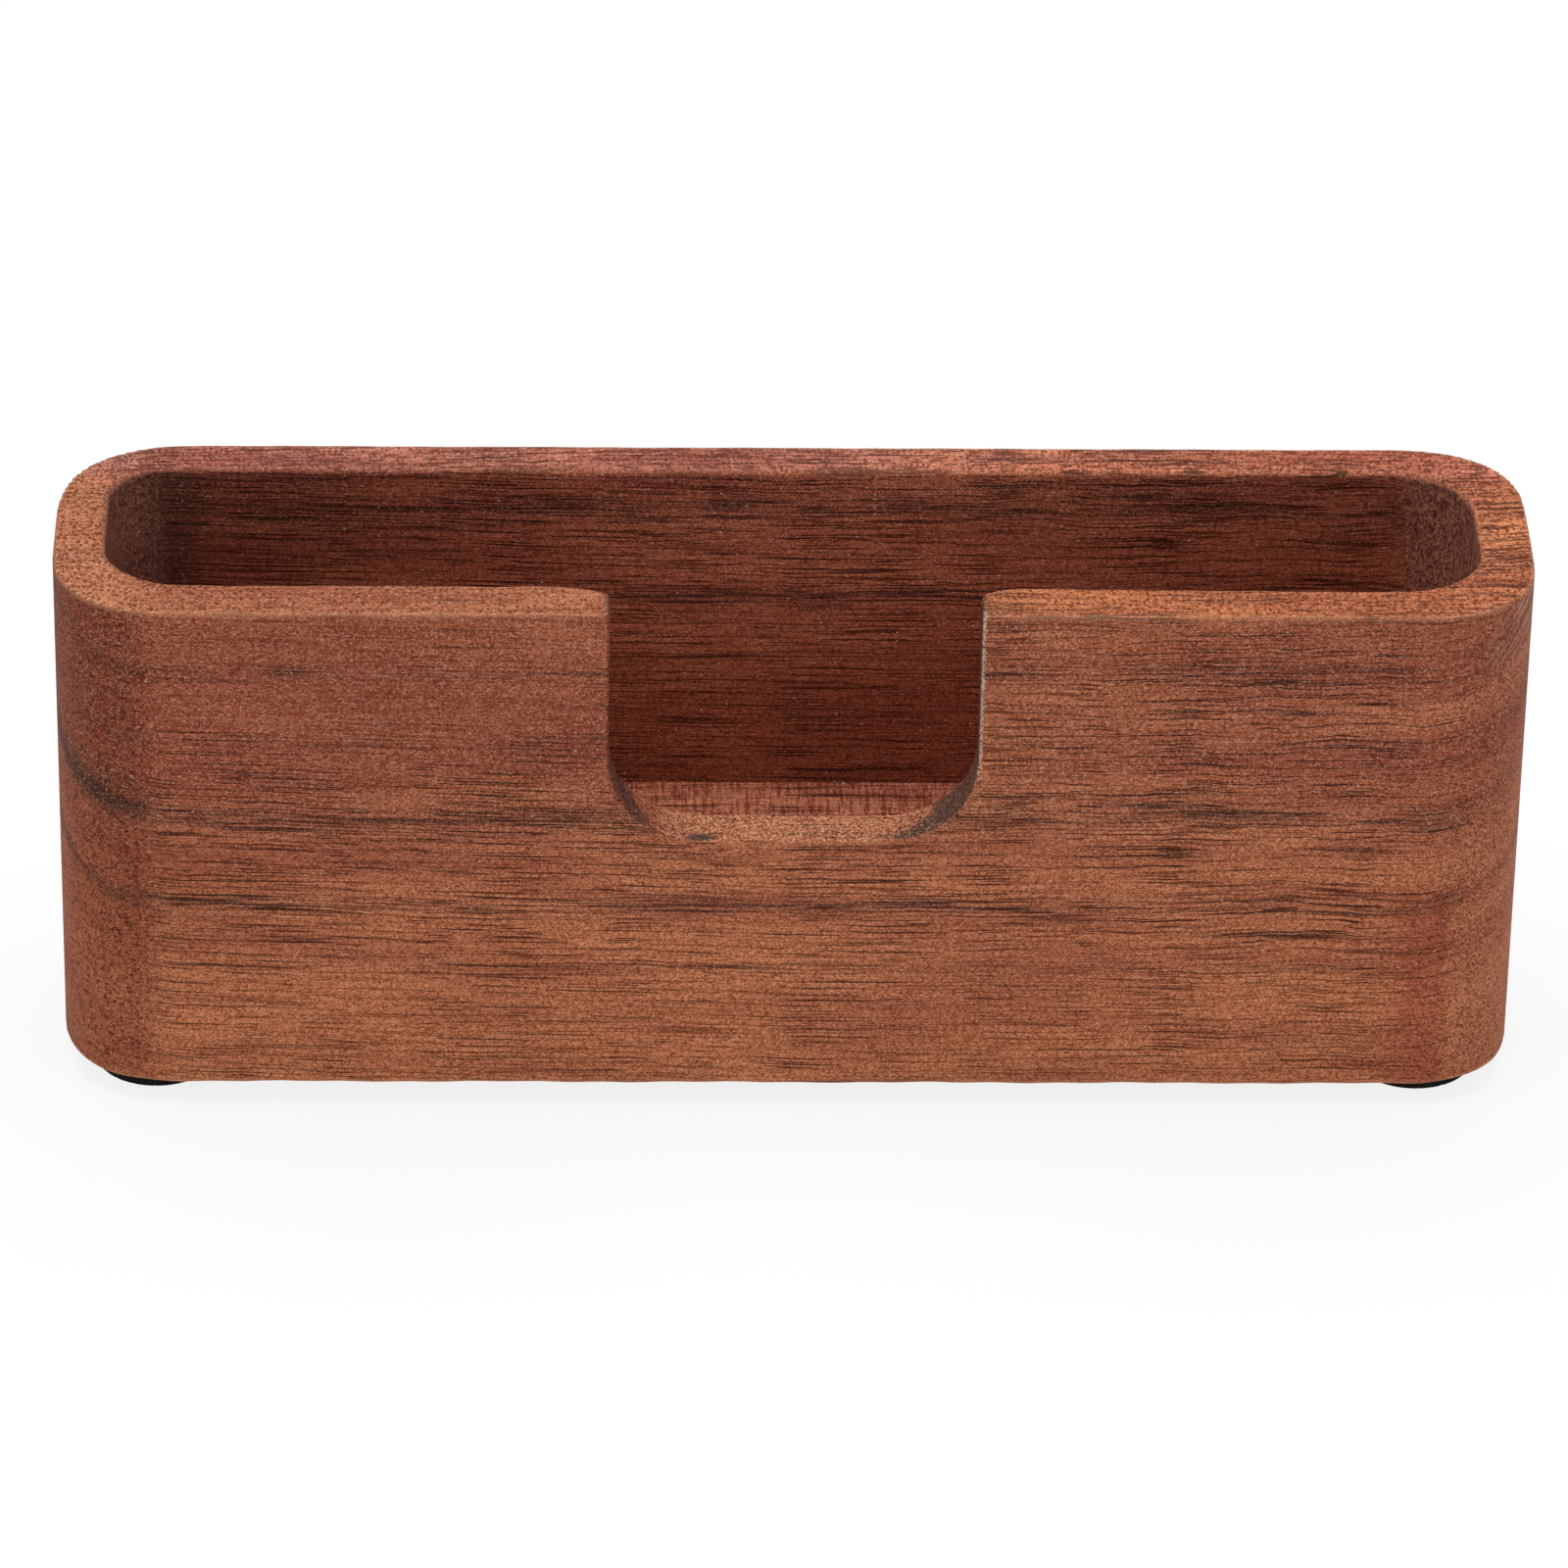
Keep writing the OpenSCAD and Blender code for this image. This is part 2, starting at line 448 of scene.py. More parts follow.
class Hardwood(Shader):
    """Oiled red-brown hardwood with its grain along X and layers of growth that rise to the back."""

    def __init__(self):
        super().__init__("hardwood")
        self.place, (self.x, self.y, self.z) = self.millimetres()
        self.normal = self.add("SeparateXYZ", self.add("NewGeometry").outputs["Normal"]).outputs
        self.pocket = self.attribute("pocket")
        self.notch = self.attribute("notch")
        self.edge = self.attribute("edge")
        self.level = self.ease(self.normal[2], 0.5, 0.9)
        self.rim = self.both(self.level, self.ease(self.z, RIM_Z - 1.0, RIM_Z - 0.5))
        self.right = self.ease(self.x, *MIDDLE_X)
        _, self.grit = self.cells(self.place, GRIT_ROOM)
        self.patchy = self.noise(self.place, PATCH_SCALE, 3.0, 0.7)
        turned = self.both(self.math("ABSOLUTE", self.normal[0]), self.blend(self.right, 2.6, 1.4))
        self.across = self.ease(self.scaled(self.patchy, 0.45, turned), 0.33, 0.9)
        self.milled_end = self.both(self.across, self.pocket)
        self.lay_grain()

        colour = self.growth()
        colour = self.open_pores(colour)
        colour = self.ends_and_rim(colour)
        colour = self.milled_pocket(colour)
        colour = self.sanded_notch(colour)
        colour = self.worn(colour)
        self.fill(self.surface.inputs["Base Color"], colour)
        roughness = self.scaled(self.grit, GRIT_ROUGHNESS, WOOD_ROUGHNESS)
        self.fill(self.surface.inputs["Roughness"], roughness)
        self.surface.inputs["Specular IOR Level"].default_value = WOOD_SPECULAR
        self.bump(self.noise(self.place, RELIEF_SCALE, 2.0, 0.6), RELIEF_DEPTH)

    def lay_grain(self):
        """Finds the layer of growth, as its height on the front face, and the run of the fibres in it."""
        layer = self.math("ADD", self.z, self.sway(self.place, SWAY_SCALE, SWAY_REACH))
        rise = self.scaled(self.y, LAYER_RISE, BASE_Z + LAYER_RISE * HALF_W)
        self.layer = self.math("SUBTRACT", layer, rise)
        curl = self.both(self.sway(self.place, CURL_SCALE, CURL_REACH), self.ease(self.x, *CURL_X))
        ripple = self.sway(self.place, RIPPLE_SCALE, RIPPLE_REACH)
        bent = self.scaled(self.math("MINIMUM", self.x, 0.0), FIBRE_DIP, self.layer)
        bent = self.math("ADD", bent, self.math("ADD", curl, ripple))
        self.spot = self.combine(self.x, self.layer, 0.0)
        self.strand = self.combine(self.x, bent, 0.0)
        fibre = self.noise(self.strand, FIBRE_SCALE, 2.0, 0.65, flat=True)
        plain = self.math("MAXIMUM", self.milled_end, self.math("MULTIPLY", self.across, 0.7))
        self.fibre = self.blend(plain, fibre, 0.5)

    def darkness(self):
        """Rings and streaks of dark growth, broken up along the grain."""
        broken = self.noise(self.strand, BREAK_SCALE, 4.0, 0.7, flat=True)
        nearest = 2.0
        rings = [(0.0, level, 2 * HALF_L, thick, strength) for level, thick, strength in RINGS]
        for centre, level, reach, thick, strength in rings + STREAKS:
            away = self.away(self.spot, (centre, level), (reach, thick), 1.2 - strength)
            nearest = self.math("MINIMUM", nearest, away)
        nearest = self.scaled(broken, -2.0, self.math("ADD", nearest, 1.0))
        right_end = self.both(self.across, self.right)
        plain = self.math("MAXIMUM", self.math("MULTIPLY", right_end, 0.7), self.milled_end)
        return self.both(self.ease(nearest, 1.5, 0.1), self.rest(plain))

    def growth(self):
        """Orange wood low on the front and redder above, with dark threads, grit, a smudge and painted
        shade low beside the right corner.
        """
        tone = self.noise(self.strand, TONE_SCALE, 2.0, 0.6, flat=True)
        height = self.scaled(self.ease(self.layer, *RED_LAYERS), -0.3, 0.3)
        tone = self.scaled(tone, 0.65, height)
        upper_right = self.both(self.right, self.ease(self.layer, *ORANGE_LAYERS))
        tone = self.scaled(upper_right, 0.09, tone)
        colour = self.mix(self.ease(tone, 0.2, 0.8), WOOD_RED, WOOD_ORANGE)
        # Painted shade, darker and redder, low on the front where it turns into the right corner
        corner_shade = self.both(self.ease(self.x, *CORNER_SHADE_X), self.ease(self.x, *CORNER_SHADE_END_X))
        corner_shade = self.both(corner_shade, self.ease(self.layer, *CORNER_SHADE_LAYERS), self.rest(self.pocket))
        colour = self.mix(corner_shade, colour, CORNER_SHADE_TINT, "MULTIPLY")
        self.dark = self.darkness()
        thread = self.scaled(self.ease(self.fibre, 0.6, 0.4), 0.75, 0.13)
        thread = self.scaled(self.across, 0.3, thread)
        colour = self.mix(self.both(self.dark, thread), colour, WOOD_DARK)
        smudge = self.ease(self.away(self.spot, SMUDGE_PLACE, SMUDGE_REACH), 1.1, 0.0)
        smudge = self.both(smudge, self.scaled(self.grit, -0.6, 0.95))
        colour = self.mix(self.both(smudge, self.rest(self.pocket)), colour, WOOD_DARK)
        shade = self.scaled(self.math("MINIMUM", self.fibre, 0.5), 1.45, 0.14)
        shade = self.scaled(self.fibre, 0.5, shade)
        strong = self.blend(self.pocket, 1.0, 1.4)
        shade = self.scaled(self.math("SUBTRACT", shade, 1.0), strong, 1.0)
        spread = self.blend(self.across, 1.4, 1.75)
        gritty = self.scaled(self.math("SUBTRACT", self.grit, 0.5), spread, 1.0)
        shade = self.both(shade, gritty)
        shades = [self.math("POWER", shade, power) for power in SHADE_POWERS]
        return self.mix(1.0, colour, self.combine(*shades), "MULTIPLY")

    def open_pores(self, colour):
        """Long thin dashes, which crowd together in the dark rings and are few high on the left."""
        crowd = self.noise(self.strand, CROWD_SCALE, 2.0, flat=True)
        crowd = self.scaled(crowd, 0.6, self.scaled(self.dark, 0.3, -0.3))
        smooth = self.both(self.ease(self.layer, *SMOOTH_LAYERS), self.ease(self.x, *SMOOTH_X))
        low = self.ease(self.layer, *LOW_LAYERS)
        crowd = self.scaled(smooth, -0.5, self.scaled(low, -0.1, crowd))
        hairs = self.scaled(smooth, -0.35, self.scaled(self.pocket, 0.25, 0.45))
        pores = self.both(self.ease(self.fibre, 0.43, 0.33), hairs)
        for length, width, share in PORES:
            gap, random = self.cells(self.strand, (length, width, 1.0), flat=True)
            chance = self.math("SUBTRACT", random, crowd)
            dash = self.both(self.ease(gap, 0.19, 0.13), self.ease(chance, share + 0.15, share - 0.25))
            pores = self.math("MAXIMUM", pores, dash)
        share = self.both(pores, self.rest(self.across), self.blend(low, 0.95, 0.82))
        return self.mix(share, colour, WOOD_PORE)

    def ends_and_rim(self, colour):
        """Duller ends, from end grain and painted shade, and a lighter rim, where the pores show as dots.
        """
        # The ends darker: duller end grain, and painted shade where the sides get less light, most at the
        # left
        end_grain_and_shade = self.mix(self.right, LEFT_END_GRAIN_AND_SHADE_TINT, RIGHT_END_GRAIN_AND_SHADE_TINT)
        colour = self.mix(self.across, colour, self.mix(self.pocket, end_grain_and_shade, POCKET_END_TINT), "MULTIPLY")
        colour = self.mix(self.rim, colour, RIM_TINT, "MULTIPLY")
        back = self.both(self.rim, self.ease(self.y, *BACK_RIM_Y))
        colour = self.mix(back, colour, BACK_RIM_TINT, "MULTIPLY")
        right = self.both(self.rim, self.ease(self.x, *RIGHT_RIM_X))
        colour = self.mix(right, colour, RIGHT_RIM_TINT, "MULTIPLY")
        left = self.both(self.rim, self.ease(self.x, *LEFT_RIM_X))
        colour = self.mix(left, colour, LEFT_RIM_TINT, "MULTIPLY")
        far = self.both(self.rim, self.ease(self.math("ABSOLUTE", self.x), *END_RIM_X))
        colour = self.mix(far, colour, END_RIM_TINT, "MULTIPLY")

        gap, random = self.cells(self.place, DOT_ROOM)
        outer_end = self.math("SUBTRACT", self.across, self.milled_end)
        dots = self.both(self.ease(gap, 0.45, 0.25), self.ease(random, 0.7, 0.4))
        dots = self.both(dots, outer_end, self.blend(self.right, 1.0, 0.4))
        self.dust = self.both(self.ease(gap, 0.2, 0.1), self.ease(random, 0.85, 0.95))

        gap, random = self.cells(self.place, TICK_ROOM, flat=True)
        many = self.math("MAXIMUM", self.ease(self.x, *TICK_LEFT_X), self.ease(self.x, *TICK_RIGHT_X))
        share = self.scaled(many, 0.25, 0.5)
        chance = self.math("SUBTRACT", random, share)
        ticks = self.both(self.ease(gap, 0.42, 0.22), self.ease(chance, 0.1, -0.1))
        gap, random = self.cells(self.place, DASH_ROOM, flat=True)
        dashes = self.both(self.ease(gap, 0.32, 0.18), self.ease(random, 0.8, 0.6))
        dashes = self.both(dashes, self.math("MAXIMUM", back, self.ease(self.x, *DASH_X)))
        ticks = self.both(self.math("MAXIMUM", ticks, dashes), self.rim)
        colour = self.mix(self.math("MULTIPLY", dots, 0.6), colour, WOOD_PORE)
        return self.mix(self.math("MULTIPLY", ticks, 0.7), colour, WOOD_TICK)

    def milled_pocket(self, colour):
        """Darker walls with painted shade towards the floor and at the left, dull and flecked at the ends,
        and a floor that shows the cutter's passes.
        """
        walls = self.both(self.pocket, self.rest(self.level))
        # Darker walls in the pocket
        colour = self.mix(walls, colour, POCKET_WALL_TINT, "MULTIPLY")
        # Painted shade: the walls darker towards the pocket's floor
        lit = self.scaled(self.ease(self.z, *SHADED_Z), 0.3, 0.7)
        colour = self.mix(walls, colour, lit, "MULTIPLY")
        # Painted shade on the back wall's left part and in the pocket's left back corner, in the scorch
        # colour
        far_left_shade = self.math("MULTIPLY", self.ease(self.x, *POCKET_SHADE_X), 0.12)
        corner = self.both(self.ease(self.x, *POCKET_SHADE_CORNER_X), self.ease(self.x, *POCKET_SHADE_CORNER_END_X))
        corner = self.both(corner, self.ease(self.y, *POCKET_SHADE_CORNER_Y))
        dark = self.scaled(corner, 0.35, far_left_shade)
        colour = self.mix(self.both(walls, dark), colour, WOOD_CHAR_AND_SHADE)
        flecks = self.noise(self.place, FLECK_SCALE, 2.0, 0.8)
        fur = self.both(self.milled_end, self.blend(self.right, 0.45, 1.0))
        colour = self.mix(self.both(self.ease(flecks, 0.48, 0.36), fur, 0.7), colour, WOOD_PORE)
        colour = self.mix(self.both(self.ease(flecks, 0.53, 0.62), fur, 0.75), colour, WOOD_FLECK)
        floor = self.both(self.pocket, self.level)
        colour = self.mix(floor, colour, FLOOR_TINT, "MULTIPLY")
        passes = self.noise(self.place, PASS_SCALE, 3.0, 0.75)
        strength = self.blend(self.ease(self.y, *PASS_Y), 0.25, 1.0)
        passes = self.both(self.ease(passes, 0.46, 0.57), floor, strength)
        return self.mix(passes, colour, PASS_TINT, "MULTIPLY")

    def sanded_notch(self, colour):
        """A pale sanded sill, sides that the cutter scorched, and a painted highlight on the arris on the
        right.
        """
        sill = self.both(self.notch, self.ease(self.normal[2], 0.8, 0.95))
        colour = self.mix(sill, colour, SILL_TINT, "MULTIPLY")
        pale = self.scaled(self.patchy, 1.2, -1.15)
        pale = self.scaled(self.grit, 1.4, pale, clamp=True)
        colour = self.mix(self.both(sill, pale), colour, SILL_PALE)
        burnt = self.math("SUBTRACT", self.z, self.scaled(self.patchy, 1.4, NOTCH_Z - 0.4))
        burnt = self.scaled(self.right, 1.1, self.math("SUBTRACT", burnt, 1.4))
        burnt = self.math("ADD", burnt, self.ease(self.y, *SCORCH_Y))
        inner = self.both(self.notch, self.ease(self.math("ABSOLUTE", self.normal[1]), 0.8, 0.4))
        soot = self.scaled(self.grit, -0.5, self.scaled(self.right, 0.25, 0.8))
        burnt = self.both(self.ease(burnt, 0.0, 0.8), inner, soot)
        speckled = self.scaled(self.grit, -0.3, 1.0)
        for centre, reach in SCORCHES:
            away = self.away(self.place, (centre, SCORCH_ACROSS), (reach, SCORCH_WIDTH))
            spot = self.both(self.ease(away, 1.2, 0.5), self.notch, self.level, speckled)
            burnt = self.math("MAXIMUM", burnt, spot)
        colour = self.mix(burnt, colour, WOOD_CHAR_AND_SHADE)
        # Painted highlight along the notch's right arris
        arris_highlight = self.both(self.edge, self.notch, self.right, self.ease(self.z, *ARRIS_HIGHLIGHT_Z))
        arris_highlight = self.both(arris_highlight, self.ease(self.y, *ARRIS_HIGHLIGHT_Y), self.ease(self.grit, 0.1, 0.5))
        return self.mix(arris_highlight, colour, WOOD_PALE)

    def worn(self, colour):
        """Painted highlight with some wear along the edges, a pale haze that paints dust and glints, dust,
        and a few scratches high on the right corner.
        """
        # Pale line along sharp edges: painted highlight, with some wear
        highlight_and_wear = self.both(self.edge, self.rest(self.notch), HIGHLIGHT_AND_WEAR_SHARE)
        colour = self.mix(highlight_and_wear, colour, WOOD_HIGHLIGHT_AND_WEAR)
        # Pale specks, more towards the top of the front: dust, and painted glints of the oiled finish
        high = self.scaled(self.ease(self.layer, *HAZE_AND_GLINT_LAYERS), 0.2, 0.1)
        haze_and_glints = self.both(self.ease(self.grit, 0.8, 1.0), self.scaled(self.patchy, 0.5, 0.4))
        slant = self.scaled(self.x, 1.3, self.math("MULTIPLY", self.z, -1.0))
        slant = self.combine(slant, self.z, 0.0)
        scratch = self.noise(slant, SCRATCH_SCALE, 2.0, 0.6, flat=True)
        corner = self.both(self.ease(self.x, *SCRATCH_X), self.ease(self.z, *SCRATCH_Z))
        corner = self.both(corner, self.ease(self.y, *SCRATCH_Y), self.rest(self.level))
        scratch = self.both(self.ease(scratch, 0.56, 0.64), corner, SCRATCH_SHARE)
        pale = self.math("MAXIMUM", self.both(haze_and_glints, high), scratch)
        specks = self.blend(self.pocket, DUST_SHARE, POCKET_DUST_SHARE)
        pale = self.scaled(self.dust, specks, pale, clamp=True)
        return self.mix(pale, colour, WOOD_PALE)


# Block

def corner_radius(u, v, radii):
    """The radius of the corner that each point is nearest to."""
    right = np.where(v < 0, radii[1, -1], radii[1, 1])
    left = np.where(v < 0, radii[-1, -1], radii[-1, 1])
    return np.where(u < 0, left, right)


def plan_distance(u, v, half_u, half_v, radius, power=2.0):
    """Signed distance from the outline of a rounded rectangle."""
    du = np.abs(u) - (half_u - radius)
    dv = np.abs(v) - (half_v - radius)
    outside = (np.maximum(du, 0) ** power + np.maximum(dv, 0) ** power) ** (1 / power)
    return outside + np.minimum(np.maximum(du, dv), 0) - radius


def round_cut(first, second, radius):
    """Keeps what is inside both distance fields, with the edge between them rounded."""
    over_first = np.maximum(first + radius, 0)
    over_second = np.maximum(second + radius, 0)
    return np.minimum(np.maximum(first, second), -radius) + np.hypot(over_first, over_second)


def uneven(points, wavelength):
    """A smooth unevenness from -1 to 1, as handwork leaves it."""
    turn = 2 * math.pi / wavelength
    x, y, z = np.moveaxis(points, -1, 0)
    return np.sin(turn * (x + 0.7 * y)) * np.sin(turn * (0.61 * z - 0.53 * x + 0.8 * y) + 1.0)


def slot_distance(x, z):
    """Signed distance from the notch's outline, which carries on above the rim."""
    return plan_distance(x, z - NOTCH_Z - NOTCH_DROP, NOTCH_W / 2, NOTCH_DROP, NOTCH_R)


def pocket_distance(points):
    """Signed distance from the pocket, whose front wall is sanded back beside the notch."""
    x, y, z = np.moveaxis(points, -1, 0)
    radius = corner_radius(x, y - POCKET_Y, POCKET_R)
    pocket = plan_distance(x, y - POCKET_Y, POCKET_HALF_L, POCKET_HALF_W, radius)
    lead_length = np.interp(x, (-NOTCH_W / 2, NOTCH_W / 2), (LEAD_LEFT, LEAD_RIGHT))
    lead = LEAD_DEPTH * np.clip(1 - slot_distance(x, z) / lead_length, 0, 1) ** 2
    lead = lead * np.interp(z - NOTCH_Z, (-LEAD_BELOW, LEAD_RISE), (LEAD_START, 1))
    hollow = HOLLOW * np.exp(-((x - HOLLOW_X) / HOLLOW_REACH) ** 2)
    pocket = pocket - (lead + hollow) * np.clip((POCKET_Y - y) / POCKET_HALF_W, 0, 1)
    return round_cut(pocket, FLOOR_Z - z, FLOOR_FILLET)


def block_distance(points):
    """Signed distance from the block's surface, with edges that were sanded by hand."""
    x, y, z = np.moveaxis(points, -1, 0)
    wear = 1 + SANDING_SHARE * uneven(points, SANDING_WAVE)
    half_w = HALF_W + BACK_SWELL / 2
    body = plan_distance(x, y - BACK_SWELL / 2, HALF_L, half_w, corner_radius(x, y, CORNER_R), CORNER_POWER)
    bulge = np.clip(1 - (y / HALF_W) ** 2, 0, 1)
    end = np.where(x > 0, RIGHT_SWELL * bulge - RIGHT_SANDED, LEFT_SWELL * bulge)
    body = body - end * np.clip((np.abs(x) - POCKET_HALF_L + END_WALL) / END_WALL, 0, 1)
    body = round_cut(body, z - RIM_Z, RIM_ROUND * wear)
    body = round_cut(body, BASE_Z - z, BASE_ROUND * wear)
    mouth = np.interp(y, (POCKET_FRONT, POCKET_BACK), (MOUTH_ROUND_FRONT, MOUTH_ROUND_BACK))
    body = round_cut(body, -pocket_distance(points), mouth * wear)
    notch = np.maximum(slot_distance(x, z), y - POCKET_Y)
    edge = np.interp(y, (-HALF_W, POCKET_FRONT), (NOTCH_ROUND_FRONT, NOTCH_ROUND_BACK))
    return round_cut(body, -notch, edge * wear)


def graded_lines(low, high, marks):
    """Grid lines that crowd together at the marks."""
    lines = [low]
    while lines[-1] < high:
        gap = min(abs(lines[-1] - mark) for mark in marks)
        lines.append(lines[-1] + min(GRID_COARSE, GRID_FINE + GRID_GROWTH * gap))
    return np.array(lines)


def slopes(distance, points, step=0.005):
    """The distance field's gradient at each point."""
    found = np.empty_like(points)
    for axis in range(3):
        shift = np.zeros(3)
        shift[axis] = step
        found[:, axis] = (distance(points + shift) - distance(points - shift)) / (2 * step)
    return found


def surface_net(distance, lines):
    """Vertices, quads and normals of a distance field's zero level, on a grid of lines along x, y and z."""
    inside = distance(np.stack(np.meshgrid(*lines, indexing="ij"), -1)) < 0
    corners = np.zeros([len(axis_lines) - 1 for axis_lines in lines], int)
    for i in (0, 1):
        for j in (0, 1):
            for k in (0, 1):
                size = corners.shape
                corners += inside[i:i + size[0], j:j + size[1], k:k + size[2]]
    cells = np.argwhere((corners > 0) & (corners < 8))
    number = np.full(corners.shape, -1)
    number[tuple(cells.T)] = np.arange(len(cells))

    low = np.stack([axis_lines[cells[:, axis]] for axis, axis_lines in enumerate(lines)], -1)
    high = np.stack([axis_lines[cells[:, axis] + 1] for axis, axis_lines in enumerate(lines)], -1)
    points = (low + high) / 2
    for _ in range(GRID_SETTLES):
        slope = slopes(distance, points)
        steep = np.maximum((slope ** 2).sum(1), GRID_STEEP)
        points = points - slope * (distance(points) / steep)[:, None]
        points = np.clip(points, low, high)

    quads = []
    for axis in range(3):
        change = np.diff(inside.astype(int), axis=axis)
        around = ((-1, -1), (0, -1), (0, 0), (-1, 0))
        for sign, order in ((-1, around), (1, around[::-1])):
            at = np.argwhere(change == sign)
            ring = []
            for du, dv in order:
                cell = at.copy()
                cell[:, (axis + 1) % 3] += du
                cell[:, (axis + 2) % 3] += dv
                ring.append(number[tuple(cell.T)])
            quads.append(np.stack(ring, -1))
    normals = slopes(distance, points)
    normals /= np.linalg.norm(normals, axis=1)[:, None]
    return points, np.concatenate(quads), normals


def sharpness(distance, points, reach=0.2):
    """How sharply the surface bends outwards, as one over a radius."""
    bend = -6 * distance(points)
    for axis in range(3):
        shift = np.zeros(3)
        shift[axis] = reach
        bend += distance(points + shift) + distance(points - shift)
    return bend / reach ** 2


def mark_surface(mesh, points):
    """Stores with each vertex how far it belongs to the pocket, to the notch and to a sharp edge, whose
    pale line is painted highlight with some wear.
    """
    x, y, z = points.T
    below_rim = np.clip((RIM_Z - z) / MOUTH_ROUND_BACK, 0, 1)
    # Share of the edges' painted highlight and wear, smaller at the pocket's mouth
    highlight_and_wear = np.clip(pocket_distance(points) / FRONT_WALL, MOUTH_HIGHLIGHT_AND_WEAR, 1)
    marks = {
        "pocket": np.clip(1 - np.abs(pocket_distance(points)) / CUT_REACH, 0, 1) * below_rim,
        "notch": np.clip(1 - np.abs(slot_distance(x, z)) / CUT_REACH, 0, 1) * (y < POCKET_Y),
        "edge": np.clip((sharpness(block_distance, points) - DULL) / (SHARP - DULL), 0, 1) * highlight_and_wear,
    }
    for name, values in marks.items():
        mesh.attributes.new(name, "FLOAT", "POINT").data.foreach_set("value", values)


def make_block(material):
    """The hollowed block, as a mesh over its distance field."""
    marks = (
        (-HALF_L, -POCKET_HALF_L, -NOTCH_W / 2, NOTCH_W / 2, POCKET_HALF_L, HALF_L),
        (-HALF_W, POCKET_FRONT, POCKET_BACK, HALF_W + BACK_SWELL),
        (BASE_Z, FLOOR_Z, NOTCH_Z, RIM_Z),
    )
    lines = [graded_lines(m[0] - GRID_MARGIN, m[-1] + GRID_MARGIN, m) for m in marks]
    points, quads, normals = surface_net(block_distance, lines)
    mesh = bpy.data.meshes.new("card_block")
    mesh.from_pydata((points * MM).tolist(), [], quads.tolist())
    mesh.normals_split_custom_set_from_vertices(normals.tolist())
    mark_surface(mesh, points)
    mesh.materials.append(material)
    block = bpy.data.objects.new("card_block", mesh)
    bpy.context.scene.collection.objects.link(block)
    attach(block, "root")
    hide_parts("block")


# Pads and their adhesive

FOAM_PIT_SHADE = srgb(9, 9, 10)
FOAM_SKIN = srgb(25, 24, 25)
FOAM_WORN = srgb(36, 35, 36)
FOAM_DUST = srgb(150, 142, 134)
FOAM_ROUGHNESS = 0.9
FOAM_SPECULAR = 0.25
# Room for one of the foam's bubbles and one of its fine pores, scale of its wear, and depth of its relief
FOAM_ROOM = (1 / 5,) * 3
FOAM_FINE_ROOM = (1 / 14,) * 3
FOAM_WORN_SCALE = (0.5, 0.5, 0.5)
FOAM_RELIEF = 0.08

FILM_DARK = srgb(122, 104, 82)
FILM_LIGHT = srgb(150, 132, 106)
FILM_BUBBLE = srgb(190, 176, 152)
FILM_ROUGHNESS = 0.35
# Scale of the film's streaks, room for one of its bubbles, and depth of its relief
FILM_STREAK_SCALE = (0.6, 0.6, 3.0)
FILM_BUBBLE_ROOM = (1 / 3,) * 3
FILM_RELIEF = 0.02


def foam_material():
    """Black closed-cell foam with small bubbles, painted shade in their hollows and a little dust."""
    foam = Shader("pad_foam")
    place, _ = foam.millimetres()
    gap, _ = foam.cells(place, FOAM_ROOM)
    fine, _ = foam.cells(place, FOAM_FINE_ROOM)
    worn = foam.noise(place, FOAM_WORN_SCALE, 3.0)
    # Painted shade, darker towards the middle of each bubble's hollow
    colour = foam.mix(foam.ease(gap, 0.1, 0.7), FOAM_PIT_SHADE, FOAM_SKIN)
    colour = foam.mix(foam.ease(worn, 0.4, 0.8), colour, FOAM_WORN)
    dust = foam.math("MULTIPLY", foam.ease(fine, 0.2, 0.1), foam.ease(worn, 0.45, 0.6))
    colour = foam.mix(foam.math("MULTIPLY", dust, 0.6), colour, FOAM_DUST)
    foam.fill(foam.surface.inputs["Base Color"], colour)
    foam.surface.inputs["Roughness"].default_value = FOAM_ROUGHNESS
    foam.surface.inputs["Specular IOR Level"].default_value = FOAM_SPECULAR
    foam.bump(foam.math("ADD", gap, foam.math("MULTIPLY", fine, 0.4)), FOAM_RELIEF)
    return foam.material


def film_material():
    """Clear adhesive film, seen against the dark foam."""
    film = Shader("adhesive_film")
    place, _ = film.millimetres()
    streaks = film.noise(place, FILM_STREAK_SCALE, 3.0)
    bubbles, _ = film.cells(place, FILM_BUBBLE_ROOM)
    colour = film.mix(film.ease(streaks, 0.3, 0.7), FILM_DARK, FILM_LIGHT)
    colour = film.mix(film.ease(bubbles, 0.2, 0.1), colour, FILM_BUBBLE)
    film.fill(film.surface.inputs["Base Color"], colour)
    film.surface.inputs["Roughness"].default_value = FILM_ROUGHNESS
    film.bump(streaks, FILM_RELIEF)
    return film.material


def pad_profile(radius, thickness):
    """Radius and height of a die-cut pad's rings, from near the middle of its top to that of its base."""
    outline = [(radius * share, thickness) for share in np.linspace(0, 1, PAD_TOP_STEPS)[1:-1]]
    for level in np.linspace(thickness, PAD_EDGE, PAD_SIDE_STEPS):
        waist = PAD_WAIST * math.sin(math.pi * level / thickness)
        outline.append((radius - waist, level))
    for turn in np.linspace(0, math.pi / 2, PAD_EDGE_STEPS)[1:]:
        reach = radius - PAD_EDGE + PAD_EDGE * math.cos(turn)
        outline.append((reach, PAD_EDGE - PAD_EDGE * math.sin(turn)))
    flat = radius - PAD_EDGE
    outline += [(flat * share, 0.0) for share in np.linspace(1, 0, PAD_BASE_STEPS)[1:-1]]
    return outline


